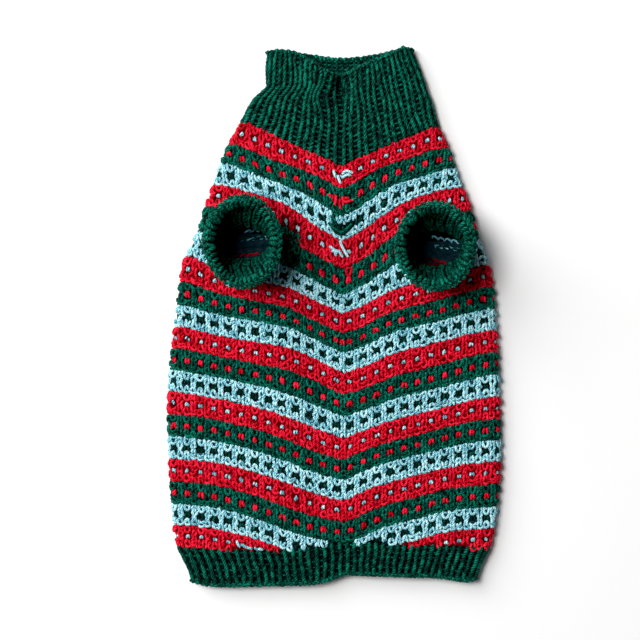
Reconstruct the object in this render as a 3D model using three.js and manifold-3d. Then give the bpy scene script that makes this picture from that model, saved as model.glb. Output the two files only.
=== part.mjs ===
// A hand-knitted dog sweater laid flat, belly side up, neck towards +Y.
// Millimetres. X runs across the garment, Y from hem to neck, Z up from the surface that it lies on.
// The garment is one flattened tube of knitted cloth. Its back lies flat on the surface and turns
// up round both sides, and the two halves of the belly lie on top and meet along the centre line.
// A ribbed collar and hem band close the ends, and two ribbed leg cuffs stand up out of the belly.

import * as THREE from "three";
import { mergeVertices } from "three/addons/utils/BufferGeometryUtils.js";
import Module from "manifold-3d";

const wasm = await Module();
wasm.setup();

// ---------- cloth ----------
const BODY_WALL = 2.8; // thickness of the slip-stitch cloth of the body
const RIB_WALL = 3.0; // thickness of the 1x1 rib of collar, hem band and cuffs
const SEAM = 0.3; // gap between two pieces where they are joined
const FOLD_REACH = 7; // how far the side turn reaches in from the edge
const FOLD_HEIGHT = 13; // height of the side turn above the surface

// ---------- the outline seen from above, and the height of its middle ----------
const OUTLINE = [
  { y: 212.0, left: -50.5, right: 60.0, crown: 13.0 },
  { y: 206.3, left: -51.9, right: 62.0, crown: 13.2 },
  { y: 193.1, left: -53.2, right: 67.0, crown: 14.0 },
  { y: 180.0, left: -52.8, right: 71.2, crown: 14.8 },
  { y: 174.0, left: -57.5, right: 73.0, crown: 15.2 },
  { y: 169.0, left: -62.8, right: 75.2, crown: 15.6 },
  { y: 150.5, left: -73.1, right: 80.7, crown: 16.4 },
  { y: 133.5, left: -82.8, right: 88.6, crown: 17.0 },
  { y: 119.6, left: -89.0, right: 93.5, crown: 17.4 },
  { y: 102.6, left: -94.4, right: 99.5, crown: 17.8 },
  { y: 87.1, left: -100.2, right: 106.0, crown: 18.2 },
  { y: 71.6, left: -104.8, right: 110.7, crown: 18.4 },
  { y: 55.3, left: -111.5, right: 114.9, crown: 18.4 },
  { y: 42.2, left: -118.0, right: 120.7, crown: 18.4 },
  { y: 25.9, left: -120.7, right: 123.8, crown: 18.6 },
  { y: -8.1, left: -124.6, right: 126.9, crown: 19.0 },
  { y: -39.1, left: -128.2, right: 128.5, crown: 19.2 },
  { y: -73.9, left: -130.0, right: 129.6, crown: 19.2 },
  { y: -111.1, left: -128.9, right: 130.0, crown: 18.8 },
  { y: -144.3, left: -127.0, right: 127.9, crown: 18.0 },
  { y: -163.0, left: -125.2, right: 125.4, crown: 17.2 },
  { y: -177.6, left: -122.5, right: 122.3, crown: 16.2 },
  { y: -187.0, left: -118.6, right: 117.8, crown: 15.4 },
  { y: -195.4, left: -114.2, right: 114.2, crown: 14.6 },
  { y: -210.0, left: -110.4, right: 109.6, crown: 13.6 },
];

const CENTRE_AT_NECK = 5.4; // x of the line where the belly halves meet, at the neck
const CENTRE_AT_HEM = 8.0; // and at the hem

// ---------- seam and edge lines, w from -1 at the left side turn to 1 at the right ----------
const NECK_TIP = 115.9; // y of the point of the V where the collar meets the belly
const NECK_RISE_LEFT = 34.6; // how far the V climbs to the left side
const NECK_RISE_RIGHT = 30.8; // and to the right side
const NECK_CURVE = 0.85; // 1 would be a straight V

const HEM_SEAM = [
  { w: -1.0, y: -178.2 }, { w: -0.85, y: -180.6 }, { w: -0.4, y: -181.2 }, { w: -0.17, y: -178.2 },
  { w: 0.0, y: -175.0 }, { w: 0.17, y: -175.2 }, { w: 0.4, y: -177.2 }, { w: 0.7, y: -177.4 }, { w: 1.0, y: -179.6 },
];
const HEM_EDGE = [
  { w: -1.0, y: -207.4 }, { w: -0.85, y: -208.8 }, { w: -0.45, y: -207.8 }, { w: -0.2, y: -206.6 },
  { w: -0.06, y: -202.6 }, { w: 0.02, y: -199.6 }, { w: 0.3, y: -200.6 }, { w: 0.7, y: -201.6 }, { w: 1.0, y: -205.6 },
];
const HEM_EDGE_BACK_INSET = 1.2; // the back of the hem band ends this much short of its front
const COLLAR_EDGE_FRONT = [
  { w: -1.0, y: 206.8 }, { w: -0.7, y: 204.2 }, { w: -0.45, y: 197.2 }, { w: -0.25, y: 190.6 }, { w: 0.0, y: 187.0 },
  { w: 0.2, y: 191.2 }, { w: 0.4, y: 196.2 }, { w: 0.7, y: 202.2 }, { w: 1.0, y: 208.8 },
];
const COLLAR_EDGE_BACK = [
  { w: -1.0, y: 206.8 }, { w: -0.5, y: 203.4 }, { w: 0.0, y: 200.4 }, { w: 0.5, y: 202.8 }, { w: 1.0, y: 208.8 },
];

// ---------- how the top layer lies: soft ridges and hollows ----------
// turn is the direction of its length, in degrees from +X. long and wide are half sizes.
const DRAPES = [
  { name: "collar crease", x: 6.5, y: 188, long: 34, wide: 6.5, turn: 90, rise: -4.8 },
  { name: "collar roll left of the crease", x: -14, y: 184, long: 26, wide: 11, turn: 76, rise: 2.2 },
  { name: "collar roll right of the crease", x: 25, y: 182, long: 28, wide: 10, turn: 100, rise: 1.6 },
  { name: "crease at the collar kink", x: -56, y: 168, long: 22, wide: 5, turn: 20, rise: -1.6 },
  { name: "hollow inside the left leg", x: -30, y: 50, long: 24, wide: 12, turn: 80, rise: -3.6 },
  { name: "hollow inside the right leg", x: 33, y: 56, long: 26, wide: 12, turn: 104, rise: -1.8 },
  { name: "ridge under the chest", x: 4, y: 78, long: 34, wide: 15, turn: 88, rise: 1.5 },
  { name: "long ridge below the left leg", x: -42, y: -34, long: 74, wide: 15, turn: 97, rise: 2.4 },
  { name: "hollow left of the centre", x: -12, y: -40, long: 92, wide: 10, turn: 92, rise: -1.4 },
  { name: "soft ridge right of the centre", x: 44, y: -58, long: 88, wide: 18, turn: 84, rise: 1.5 },
  { name: "hollow on the left side", x: -88, y: -74, long: 66, wide: 14, turn: 88, rise: -1.6 },
  { name: "hollow on the right side", x: 92, y: -36, long: 58, wide: 13, turn: 93, rise: -1.4 },
  { name: "hem pull at the centre", x: 6, y: -192, long: 26, wide: 8, turn: 90, rise: -1.8 },
];

// ---------- leg cuffs: each stands on a flat oval leg hole and flares up to a wide rim ----------
const CUFF_RISE = 44; // height of the rim above the belly cloth
const CUFF_LIP = 3.4; // how much thicker the wall is at the rim, where the cast-off edge rolls inwards
const CUFF_LIP_FROM = 0.84; // share of the height where the lip starts
const CUFFS = [
  {
    name: "cuff_left", x: -73.0, y: 57.0,
    sections: [
      { up: 0.0, dx: 0.0, dy: 0.0, across: 25.5, along: 15.0 },
      { up: 0.16, dx: 0.0, dy: 0.0, across: 25.5, along: 15.8 },
      { up: 0.36, dx: -1.6, dy: -0.1, across: 27.6, along: 20.4 },
      { up: 0.58, dx: 0.2, dy: -0.3, across: 28.0, along: 26.2 },
      { up: 0.8, dx: 2.4, dy: -0.6, across: 28.4, along: 31.6 },
      { up: 1.0, dx: 4.1, dy: -0.9, across: 28.9, along: 34.8 },
    ],
  },
  {
    name: "cuff_right", x: 77.0, y: 52.8,
    sections: [
      { up: 0.0, dx: 0.0, dy: 0.0, across: 24.5, along: 16.0 },
      { up: 0.16, dx: 0.0, dy: 0.0, across: 24.8, along: 16.8 },
      { up: 0.36, dx: -3.0, dy: 0.0, across: 28.4, along: 21.2 },
      { up: 0.58, dx: -2.6, dy: 0.0, across: 29.2, along: 26.0 },
      { up: 0.8, dx: -1.6, dy: 0.1, across: 29.6, along: 30.4 },
      { up: 1.0, dx: -0.9, dy: 0.1, across: 30.0, along: 33.2 },
    ],
  },
];

// ---------- how finely the cloth is faceted ----------
const FOLD_STEPS = 5; // round each side turn
const HALF_STEPS = 11; // across each half of the belly
const BACK_STEPS = 10; // across the flat back
const BODY_ROWS = 22;
const COLLAR_ROWS = 8;
const HEM_ROWS = 4;
const CUFF_SIDES = 32;

// ---------- colours ----------
const GREEN = new THREE.MeshStandardMaterial({ color: 0x03593f, roughness: 0.9, metalness: 0 });
const RED = new THREE.MeshStandardMaterial({ color: 0xc80a28, roughness: 0.9, metalness: 0 });
const BLUE = new THREE.MeshStandardMaterial({ color: 0x8fc7d2, roughness: 0.9, metalness: 0 });

const mix = (a, b, t) => a + (b - a) * t;

// A value read from a table by smooth curves through its rows, sorted by the key from low to high.
function reader(rows, key) {
  const sorted = [...rows].sort((a, b) => a[key] - b[key]);
  const slopes = {};
  return (value, name) => {
    if (!slopes[name]) {
      const steep = sorted.slice(1).map((row, i) => (row[name] - sorted[i][name]) / (row[key] - sorted[i][key]));
      slopes[name] = sorted.map((_, i) => {
        if (i === 0) return steep[0];
        if (i === steep.length) return steep[i - 1];
        const a = steep[i - 1], b = steep[i];
        return a * b <= 0 ? 0 : (2 * a * b) / (a + b);
      });
    }
    const last = sorted.length - 1;
    let i = sorted.findIndex((row) => value < row[key]) - 1;
    if (i === -2) i = last - 1;
    i = Math.max(0, Math.min(last - 1, i));
    const lower = sorted[i], upper = sorted[i + 1], gap = upper[key] - lower[key];
    const t = Math.max(0, Math.min(1, (value - lower[key]) / gap));
    const s = slopes[name];
    return (
      (2 * t ** 3 - 3 * t ** 2 + 1) * lower[name] + (t ** 3 - 2 * t ** 2 + t) * gap * s[i] +
      (-2 * t ** 3 + 3 * t ** 2) * upper[name] + (t ** 3 - t ** 2) * gap * s[i + 1]
    );
  };
}

const outline = reader(OUTLINE, "y");
const hemSeam = reader(HEM_SEAM, "w");
const hemEdge = reader(HEM_EDGE, "w");
const collarFront = reader(COLLAR_EDGE_FRONT, "w");
const collarBack = reader(COLLAR_EDGE_BACK, "w");

const centreLine = (y) => mix(CENTRE_AT_NECK, CENTRE_AT_HEM, (NECK_TIP - y) / (NECK_TIP + 180));

// Where a share w of the way from the centre line to a side turn lies, at y.
function across(w, y) {
  const centre = centreLine(y);
  const side = w < 0 ? outline(y, "left") + FOLD_REACH : outline(y, "right") - FOLD_REACH;
  return mix(centre, side, Math.abs(w));
}

function drape(x, y) {
  let sum = 0;
  for (const d of DRAPES) {
    const a = THREE.MathUtils.degToRad(d.turn);
    const along = ((x - d.x) * Math.cos(a) + (y - d.y) * Math.sin(a)) / d.long;
    const aside = ((y - d.y) * Math.cos(a) - (x - d.x) * Math.sin(a)) / d.wide;
    sum += d.rise * Math.exp(-along * along - aside * aside);
  }
  return sum;
}

// Height of the outside of the top layer.
function topHeight(w, y) {
  const inside = 1 - Math.abs(w) ** 2.4;
  return FOLD_HEIGHT + (outline(y, "crown") - FOLD_HEIGHT + drape(across(w, y), y)) * inside;
}

function topHeightAt(x, y) {
  const centre = centreLine(y);
  const side = x < centre ? centre - outline(y, "left") - FOLD_REACH : outline(y, "right") - FOLD_REACH - centre;
  return topHeight(Math.max(-1, Math.min(1, (x - centre) / side)), y);
}

// ---------- points of the flattened tube, at a depth below its outside ----------
const onTop = (w, y, depth) => [across(w, y), y, topHeight(w, y) - depth];
const onBack = (w, y, depth) => [across(w, y), y, depth];
function onTurn(side, angle, y, depth) {
  const edge = side < 0 ? outline(y, "left") + FOLD_REACH : outline(y, "right") - FOLD_REACH;
  return [
    edge + side * (FOLD_REACH - depth) * Math.cos(angle), y,
    FOLD_HEIGHT / 2 + (FOLD_HEIGHT / 2 - depth) * Math.sin(angle),
  ];
}

// ---------- closed walls ----------
function solidFrom(points, faces) {
  let volume = 0;
  for (const [a, b, c] of faces) {
    const [p, q, r] = [points[a], points[b], points[c]];
    volume += p[0] * (q[1] * r[2] - q[2] * r[1]) + p[1] * (q[2] * r[0] - q[0] * r[2]) + p[2] * (q[0] * r[1] - q[1] * r[0]);
  }
  const order = volume < 0 ? faces.map(([a, b, c]) => [a, c, b]) : faces;
  const geometry = new THREE.BufferGeometry();
  geometry.setAttribute("position", new THREE.Float32BufferAttribute(points.flat(), 3));
  geometry.setIndex(order.flat());
  return geometry;
}

// A wall between two grids of points. place(row, col, depth) gives a point, and round closes it on itself.
function wall(rows, cols, thickness, round, place) {
  const wide = round ? cols : cols + 1;
  const points = [];
  for (const depth of [0, thickness])
    for (let i = 0; i <= rows; i++) for (let j = 0; j < wide; j++) points.push(place(i, j, depth));
  const at = (side, i, j) => side * (rows + 1) * wide + i * wide + (j % wide);
  const faces = [];
  const quad = (a, b, c, d) => faces.push([a, b, c], [a, c, d]);
  for (let i = 0; i < rows; i++)
    for (let j = 0; j < cols; j++) {
      quad(at(0, i, j), at(0, i, j + 1), at(0, i + 1, j + 1), at(0, i + 1, j));
      quad(at(1, i, j), at(1, i + 1, j), at(1, i + 1, j + 1), at(1, i, j + 1));
    }
  for (let j = 0; j < cols; j++) {
    quad(at(0, 0, j), at(1, 0, j), at(1, 0, j + 1), at(0, 0, j + 1));
    quad(at(0, rows, j), at(0, rows, j + 1), at(1, rows, j + 1), at(1, rows, j));
  }
  if (!round)
    for (let i = 0; i < rows; i++) {
      quad(at(0, i, 0), at(0, i + 1, 0), at(1, i + 1, 0), at(1, i, 0));
      quad(at(0, i, cols), at(1, i, cols), at(1, i + 1, cols), at(0, i + 1, cols));
    }
  return solidFrom(points, faces);
}

// The way round the flattened tube: along the back, up the right turn, over the top, down the left turn.
const ROUND = [];
for (let i = 0; i < BACK_STEPS; i++) ROUND.push({ part: "back", w: -1 + (2 * i) / BACK_STEPS });
for (let i = 0; i < FOLD_STEPS; i++) ROUND.push({ part: "turn", side: 1, angle: -Math.PI / 2 + (Math.PI * i) / FOLD_STEPS });
for (let i = 0; i < 2 * HALF_STEPS; i++) ROUND.push({ part: "top", w: 1 - i / HALF_STEPS });
for (let i = 0; i < FOLD_STEPS; i++) ROUND.push({ part: "turn", side: -1, angle: Math.PI / 2 - (Math.PI * i) / FOLD_STEPS });

// A whole tube between two end lines, each given for the top and the back.
function tube(rows, thickness, start, end) {
  return wall(rows, ROUND.length, thickness, true, (i, j, depth) => {
    const spot = ROUND[j];
    const w = spot.part === "turn" ? spot.side : spot.w;
    const line = spot.part === "back" ? "back" : "top";
    const y = mix(start[line](w), end[line](w), i / rows);
    if (spot.part === "turn") return onTurn(spot.side, spot.angle, y, depth);
    return spot.part === "back" ? onBack(w, y, depth) : onTop(w, y, depth);
  });
}

const neck = (w) => NECK_TIP + (w < 0 ? NECK_RISE_LEFT : NECK_RISE_RIGHT) * Math.abs(w) ** NECK_CURVE;
const neckBack = (w) => mix(neck(-1), neck(1), (w + 1) / 2);
const hem = (w) => hemSeam(w, "y");
const hemBack = (w) => mix(hem(-1), hem(1), (w + 1) / 2);

const collar = tube(
  COLLAR_ROWS, RIB_WALL,
  { top: (w) => neck(w) + SEAM, back: (w) => neckBack(w) + SEAM },
  { top: (w) => collarFront(w, "y"), back: (w) => collarBack(w, "y") },
);

const backInset = (w) => HEM_EDGE_BACK_INSET * (1 - w * w);
const hemRib = tube(
  HEM_ROWS, RIB_WALL,
  { top: (w) => hem(w) - SEAM, back: (w) => hemBack(w) - SEAM },
  { top: (w) => hemEdge(w, "y"), back: (w) => hemEdge(w, "y") + backInset(w) },
);

// The back lies flat and turns up round both sides to where the belly halves begin.
const backWay = [];
for (let i = 0; i < FOLD_STEPS; i++) backWay.push({ side: -1, angle: Math.PI / 2 - (Math.PI * i) / FOLD_STEPS });
for (let i = 0; i <= BACK_STEPS; i++) backWay.push({ w: -1 + (2 * i) / BACK_STEPS });
for (let i = 1; i <= FOLD_STEPS; i++) backWay.push({ side: 1, angle: -Math.PI / 2 + (Math.PI * i) / FOLD_STEPS });
const back = wall(BODY_ROWS, backWay.length - 1, BODY_WALL, false, (i, j, depth) => {
  const spot = backWay[j];
  const w = spot.side ?? spot.w;
  const y = mix(neckBack(w), hemBack(w), i / BODY_ROWS);
  return spot.side ? onTurn(spot.side, spot.angle, y, depth) : onBack(w, y, depth);
});

// Half of the belly, before its leg hole is cut.
function bellyHalf(side) {
  return wall(BODY_ROWS, HALF_STEPS, BODY_WALL, false, (i, j, depth) => {
    const w = (side * j) / HALF_STEPS;
    const y = mix(neck(w), hem(w), i / BODY_ROWS);
    const [x, , z] = onTop(w, y, depth);
    const inward = mix(SEAM / 2, -SEAM, j / HALF_STEPS); // clear of the other half, and of the side turn
    return [x + side * inward, y, z];
  });
}

function toManifold(geometry) {
  const bare = geometry.clone();
  bare.deleteAttribute("normal");
  bare.deleteAttribute("uv");
  const merged = mergeVertices(bare, 1e-4);
  return new wasm.Manifold(
    new wasm.Mesh({
      numProp: 3,
      vertProperties: new Float32Array(merged.attributes.position.array),
      triVerts: new Uint32Array(merged.index.array),
    }),
  );
}

function toGeometry(solid) {
  const mesh = solid.getMesh();
  const geometry = new THREE.BufferGeometry();
  geometry.setAttribute("position", new THREE.Float32BufferAttribute(Array.from(mesh.vertProperties), 3));
  geometry.setIndex(Array.from(mesh.triVerts));
  return geometry;
}

// An upright oval column through the belly, a seam's gap larger than the cuff's foot.
function legHole(cuff) {
  const foot = cuff.sections[0];
  const column = new THREE.CylinderGeometry(1, 1, 40, CUFF_SIDES, 1);
  column.rotateX(Math.PI / 2);
  const points = column.attributes.position;
  for (let i = 0; i < points.count; i++) {
    const angle = Math.atan2(points.getY(i), points.getX(i));
    const reach = Math.hypot(points.getX(i), points.getY(i));
    points.setXYZ(
      i,
      cuff.x + reach * (foot.across + SEAM) * Math.cos(angle),
      cuff.y + reach * (foot.along + SEAM) * Math.sin(angle),
      points.getZ(i) + 22,
    );
  }
  return toManifold(column);
}

// A leg cuff: its foot follows the belly cloth and its rim is level.
function cuffTube(cuff) {
  const section = reader(cuff.sections, "up");
  const middle = topHeightAt(cuff.x, cuff.y);
  const rows = 12;
  return wall(rows, CUFF_SIDES, RIB_WALL, true, (i, j, layer) => {
    const up = i / rows;
    const lip = CUFF_LIP * Math.max(0, (up - CUFF_LIP_FROM) / (1 - CUFF_LIP_FROM));
    const depth = layer * (1 + lip / RIB_WALL);
    const angle = (2 * Math.PI * j) / CUFF_SIDES;
    const read = (name) => section(up, name);
    const foot = cuff.sections[0];
    const footHeight = topHeightAt(cuff.x + foot.across * Math.cos(angle), cuff.y + foot.along * Math.sin(angle)) - BODY_WALL;
    return [
      cuff.x + read("dx") + (read("across") - depth) * Math.cos(angle),
      cuff.y + read("dy") + (read("along") - depth) * Math.sin(angle),
      mix(footHeight, middle + CUFF_RISE, up),
    ];
  });
}

const group = new THREE.Group();
function add(name, geometry, material) {
  const mesh = new THREE.Mesh(geometry, material);
  mesh.name = name;
  group.add(mesh);
}

add("back_panel", back, BLUE);
add("belly_left", toGeometry(toManifold(bellyHalf(-1)).subtract(legHole(CUFFS[0]))), RED);
add("belly_right", toGeometry(toManifold(bellyHalf(1)).subtract(legHole(CUFFS[1]))), RED);
add("collar", collar, GREEN);
add("hem_rib", hemRib, GREEN);
for (const cuff of CUFFS) add(cuff.name, cuffTube(cuff), GREEN);

export default group;
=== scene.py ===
# A hand-knitted dog sweater laid flat, belly side up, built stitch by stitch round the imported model.
# Lengths are millimetres until a mesh is made. X runs across the garment, Y from hem to neck, Z up.
import math

import bmesh
import bpy
import numpy as np
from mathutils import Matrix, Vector


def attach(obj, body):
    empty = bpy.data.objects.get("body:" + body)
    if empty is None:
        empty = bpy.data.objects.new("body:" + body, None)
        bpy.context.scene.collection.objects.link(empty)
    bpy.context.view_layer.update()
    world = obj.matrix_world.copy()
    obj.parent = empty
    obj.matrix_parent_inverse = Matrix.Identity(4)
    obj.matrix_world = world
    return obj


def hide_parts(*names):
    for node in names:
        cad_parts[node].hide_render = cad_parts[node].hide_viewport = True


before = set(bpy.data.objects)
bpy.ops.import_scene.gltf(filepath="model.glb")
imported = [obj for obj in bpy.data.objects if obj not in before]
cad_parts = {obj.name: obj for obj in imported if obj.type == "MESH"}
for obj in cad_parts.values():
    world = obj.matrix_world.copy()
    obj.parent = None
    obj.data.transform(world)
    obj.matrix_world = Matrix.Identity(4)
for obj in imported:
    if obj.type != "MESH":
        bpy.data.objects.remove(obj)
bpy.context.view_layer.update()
rng = np.random.default_rng(7)

# ------------------------------------------------------------------ camera, light and floor
PX = 0.774  # millimetres a photo pixel, at the height of the cloth
FRAME_WIDTH = 640 * PX
CLOTH_TOP = 15.0
LENS = 110.0


def set_stage():
    scene = bpy.context.scene
    cam = bpy.data.cameras.new("camera")
    cam.lens, cam.sensor_width, cam.clip_end = LENS, 36.0, 20.0
    ob = bpy.data.objects.new("camera", cam)
    scene.collection.objects.link(ob)
    away = FRAME_WIDTH * LENS / 36.0 + CLOTH_TOP
    ob.location = ((320 - 334) * PX / 1000, (316.5 - 320) * PX / 1000, away / 1000)
    scene.camera = ob

    world = bpy.data.worlds.new("studio")
    scene.world = world
    world.use_nodes = True
    background = world.node_tree.nodes["Background"]
    background.inputs["Color"].default_value = (0.98, 0.99, 1.0, 1)
    background.inputs["Strength"].default_value = 0.055

    def area(name, place, aim, size, power, colour):
        lamp = bpy.data.lights.new(name, "AREA")
        lamp.shape, lamp.size, lamp.size_y = "RECTANGLE", size[0], size[1]
        lamp.energy, lamp.color = power, colour
        o = bpy.data.objects.new(name, lamp)
        scene.collection.objects.link(o)
        o.location = place
        o.rotation_euler = (Vector(aim) - Vector(place)).to_track_quat("-Z", "Y").to_euler()

    area("key", (-1.22, 0.50, 3.1), (0, 0, 0), (1.1, 1.1), 88.0, (1.0, 0.99, 0.98))
    area("broad", (-2.45, 1.65, 2.1), (0, 0, 0), (2.9, 2.9), 122.0, (1.0, 1.0, 1.0))
    area("fill", (2.9, -2.1, 1.5), (0, 0, 0), (2.0, 1.4), 12.0, (1.0, 1.0, 1.0))

    view = scene.view_settings
    view.view_transform, view.look, view.exposure = "Standard", "None", 0.0
    view.use_curve_mapping = True
    view.curve_mapping.black_level = (0.0022, 0.0022, 0.0022)
    view.curve_mapping.update()

    floor = bpy.data.meshes.new("floor")
    r, z = 6.0, -0.0004
    floor.from_pydata([(-r, -r, z), (r, -r, z), (r, r, z), (-r, r, z)], [], [(0, 1, 2, 3)])
    ob = bpy.data.objects.new("floor", floor)
    scene.collection.objects.link(ob)
    mat = bpy.data.materials.new("floor_paper")
    mat.use_nodes = True
    shader = mat.node_tree.nodes["Principled BSDF"]
    shader.inputs["Base Color"].default_value = (0.895, 0.895, 0.9, 1)
    shader.inputs["Roughness"].default_value = 0.9
    shader.inputs["Specular IOR Level"].default_value = 0.2
    floor.materials.append(mat)


set_stage()

# ------------------------------------------------------------------ the garment's sizes
BODY_WALL, RIB_WALL = 2.8, 3.0
FOLD_REACH, FOLD_HEIGHT = 7.0, 13.0
CENTRE_AT_NECK, CENTRE_AT_HEM = 5.4, 8.0
NECK_TIP, NECK_RISE_LEFT, NECK_RISE_RIGHT, NECK_CURVE = 115.9, 34.6, 30.8, 0.85
HEM_EDGE_BACK_INSET = 1.2

OUTLINE = dict(
    y=[-210.0, -195.4, -187.0, -177.6, -163.0, -144.3, -111.1, -73.9, -39.1, -8.1, 25.9, 42.2, 55.3,
       71.6, 87.1, 102.6, 119.6, 133.5, 150.5, 169.0, 174.0, 180.0, 193.1, 206.3, 212.0],
    left=[-110.4, -114.2, -118.6, -122.5, -125.2, -127.0, -128.9, -130.0, -128.2, -124.6, -120.7, -118.0, -111.5,
          -104.8, -100.2, -94.4, -89.0, -82.8, -73.1, -62.8, -57.5, -52.8, -53.2, -51.9, -50.5],
    right=[109.6, 114.2, 117.8, 122.3, 125.4, 127.9, 130.0, 129.6, 128.5, 126.9, 123.8, 120.7, 114.9,
           110.7, 106.0, 99.5, 93.5, 88.6, 80.7, 75.2, 73.0, 71.2, 67.0, 62.0, 60.0],
    crown=[13.6, 14.6, 15.4, 16.2, 17.2, 18.0, 18.8, 19.2, 19.2, 19.0, 18.6, 18.4, 18.4,
           18.4, 18.2, 17.8, 17.4, 17.0, 16.4, 15.6, 15.2, 14.8, 14.0, 13.2, 13.0],
)
HEM_SEAM = dict(w=[-1.0, -0.85, -0.4, -0.17, 0.0, 0.17, 0.4, 0.7, 1.0],
                y=[-178.2, -180.6, -181.2, -178.2, -175.0, -175.2, -177.2, -177.4, -179.6])
HEM_EDGE = dict(w=[-1.0, -0.85, -0.45, -0.2, -0.06, 0.02, 0.3, 0.7, 1.0],
                y=[-207.4, -208.8, -207.8, -206.6, -202.6, -199.6, -200.6, -201.6, -205.6])
COLLAR_FRONT = dict(w=[-1.0, -0.7, -0.45, -0.25, 0.0, 0.2, 0.4, 0.7, 1.0],
                    y=[206.8, 204.2, 197.2, 190.6, 187.0, 191.2, 196.2, 202.2, 208.8])
COLLAR_BACK = dict(w=[-1.0, -0.5, 0.0, 0.5, 1.0], y=[206.8, 203.4, 200.4, 202.8, 208.8])

# Soft ridges and hollows of the top layer: x, y, half length, half width, direction in degrees, rise.
DRAPES = [
    (6.5, 188, 34, 6.5, 90, -4.8), (-14, 184, 26, 11, 76, 2.2), (25, 182, 28, 10, 100, 1.6),
    (-56, 168, 22, 5, 20, -1.6), (-30, 50, 24, 12, 80, -3.6), (33, 56, 26, 12, 104, -1.8),
    (4, 78, 34, 15, 88, 1.5), (-42, -34, 74, 15, 97, 2.4), (-12, -40, 92, 10, 92, -1.4),
    (44, -58, 88, 18, 84, 1.5), (-88, -74, 66, 14, 88, -1.6), (92, -36, 58, 13, 93, -1.4),
    (6, -192, 26, 8, 90, -1.8),
]

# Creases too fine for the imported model: x, y, half length, half width, direction in degrees, rise.
CREASES = [
    (-35, 53, 17, 7.5, 84, -5.8), (-23.5, 50, 20, 6.0, 80, 3.0), (38, 52, 16, 6, 100, -1.8),
    (-31, 185, 20, 4.2, 84, -3.8), (-20, 186, 18, 4.5, 86, 2.0), (-48, 186, 20, 4.5, 88, 0.8), (6.4, 178, 13, 3.6, 97, -5.8), (-4, 176, 15, 4.5, 76, 2.8), (-20, 190, 12, 5, 160, 1.6), (15, 184, 18, 5, 98, 1.2),
    (-4, -190, 14, 4, 96, -1.2), (92, 18, 20, 5, 150, 1.0), (-86, 22, 22, 5, 30, 0.9),
    (-60, 20, 26, 6, 4, 1.1), (62, 14, 30, 6, 172, 0.8), (-10, 10, 40, 7, 108, 0.8),
]

CUFF_RISE, CUFF_LIP, CUFF_LIP_FROM = 44.0, 3.4, 0.84
CUFFS = {
    "cuff_left": dict(x=-73.0, y=57.0, up=[0.0, 0.16, 0.36, 0.58, 0.8, 1.0], dx=[0.0, 0.0, -1.6, 0.2, 2.4, 4.1],
                      dy=[0.0, 0.0, -0.1, -0.3, -0.6, -0.9], across=[25.5, 25.5, 27.6, 28.0, 28.4, 28.9],
                      along=[15.0, 15.8, 20.4, 26.2, 31.6, 34.8]),
    "cuff_right": dict(x=77.0, y=52.8, up=[0.0, 0.16, 0.36, 0.58, 0.8, 1.0], dx=[0.0, 0.0, -3.0, -2.6, -1.6, -0.9],
                       dy=[0.0, 0.0, 0.0, 0.0, 0.1, 0.1], across=[24.5, 24.8, 28.4, 29.2, 29.6, 30.0],
                       along=[16.0, 16.8, 21.2, 26.0, 30.4, 33.2]),
}

# ------------------------------------------------------------------ the knitting
STITCH = 5.28  # width of a body stitch
BANDS = 19
BAND_YARNS = ("red", "green", "blue")  # from the neck down, over and over
DOT_YARN = {"red": "blue", "green": "red", "blue": "green"}  # each band is dotted with the band above it

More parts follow.
